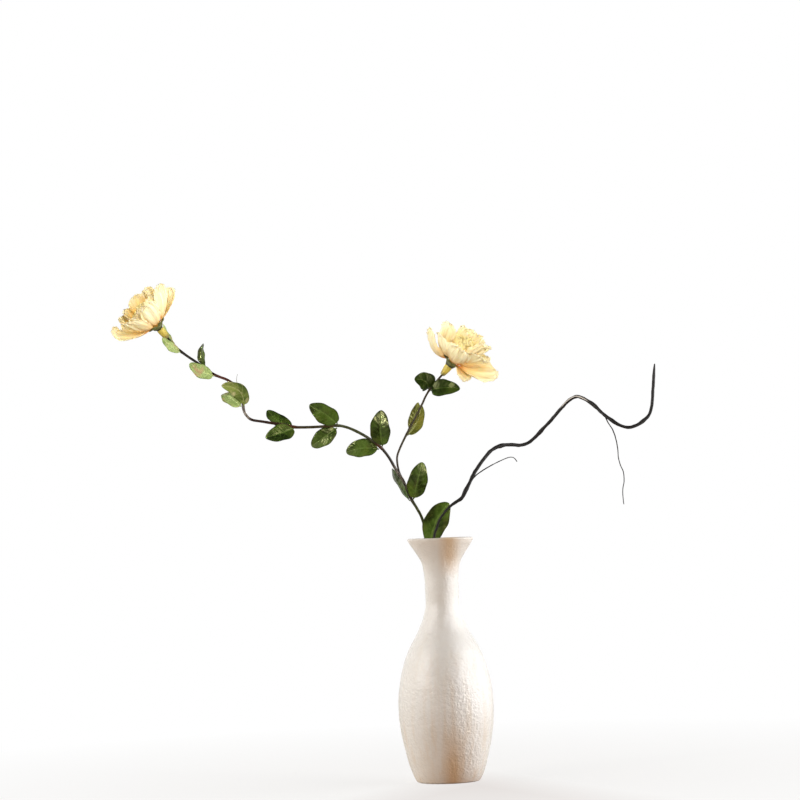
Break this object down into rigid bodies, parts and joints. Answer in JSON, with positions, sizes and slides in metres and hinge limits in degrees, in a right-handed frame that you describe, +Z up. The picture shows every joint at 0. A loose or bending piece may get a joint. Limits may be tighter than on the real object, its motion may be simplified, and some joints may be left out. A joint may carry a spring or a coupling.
{
  "type": "flowers in vase",
  "caption": "Cream flowers and glossy leaves on a forked stem, with a bare twig, in a narrow-necked ceramic vase.",
  "frame": {"origin": "centre of the vase's foot, on the surface it stands on", "axes": "+Z up, -Y is the front, +X towards the twig's tip; the flower stem leans towards -X"},
  "size_m": [0.5369, 0.0955, 0.5049],
  "materials": {
    "glaze": "satin glaze with a fine orange-peel surface",
    "bark_brown": "smooth thin bark, brown, olive in places",
    "twig_black": "dark bare bark, dull",
    "leaf_green": "glossy dark leaf with a paler sheen and fine veins",
    "leaf_pale": "matte pale young leaf",
    "leaf_olive": "satin olive leaf with a pale midrib",
    "petal_cream": "soft matte petal, cream at the rim and warmer at its foot",
    "petal_gold": "soft matte golden heart",
    "neck_ochre": "smooth ochre swelling under the bloom",
    "calyx_green": "matte green cup"
  },
  "bodies": {
    "root": {"vase": "glaze", "flower_stem": "bark_brown", "twig": "twig_black", "mouth_leaf": "leaf_green", "lower_leaf_right": "leaf_green", "lower_leaf_left": "leaf_green", "fork_leaf_upper": "leaf_green", "fork_leaf_lower": "leaf_green", "arch_leaf_upper": "leaf_green", "arch_leaf_lower": "leaf_green", "bend_leaf_upper": "leaf_green", "bend_leaf_lower": "leaf_green", "elbow_leaf_upper": "leaf_green", "rise_leaf_upper": "leaf_green", "top_leaf_left": "leaf_green", "top_leaf_right": "leaf_green", "elbow_leaf_lower": "leaf_pale", "rise_leaf_lower": "leaf_pale", "bud_leaf_front": "leaf_pale", "bud_leaf_back": "leaf_pale", "olive_leaf_left": "leaf_olive", "olive_leaf_right": "leaf_olive", "left_neck": "neck_ochre", "left_calyx": "calyx_green", "left_heart": "petal_gold", "left_outer_petal_1": "petal_cream", "left_outer_petal_2": "petal_cream", "left_outer_petal_3": "petal_cream", "left_outer_petal_4": "petal_cream", "left_outer_petal_5": "petal_cream", "left_outer_petal_6": "petal_cream", "left_outer_petal_7": "petal_cream", "left_outer_petal_8": "petal_cream", "left_inner_petal_1": "petal_cream", "left_inner_petal_2": "petal_cream", "left_inner_petal_3": "petal_cream", "left_inner_petal_4": "petal_cream", "left_inner_petal_5": "petal_cream", "left_inner_petal_6": "petal_cream", "left_inner_petal_7": "petal_cream", "right_neck": "neck_ochre", "right_calyx": "calyx_green", "right_heart": "petal_gold", "right_outer_petal_1": "petal_cream", "right_outer_petal_2": "petal_cream", "right_outer_petal_3": "petal_cream", "right_outer_petal_4": "petal_cream", "right_outer_petal_5": "petal_cream", "right_outer_petal_6": "petal_cream", "right_outer_petal_7": "petal_cream", "right_outer_petal_8": "petal_cream", "right_inner_petal_1": "petal_cream", "right_inner_petal_2": "petal_cream", "right_inner_petal_3": "petal_cream", "right_inner_petal_4": "petal_cream", "right_inner_petal_5": "petal_cream", "right_inner_petal_6": "petal_cream", "right_inner_petal_7": "petal_cream"}
  },
  "joints": []
}
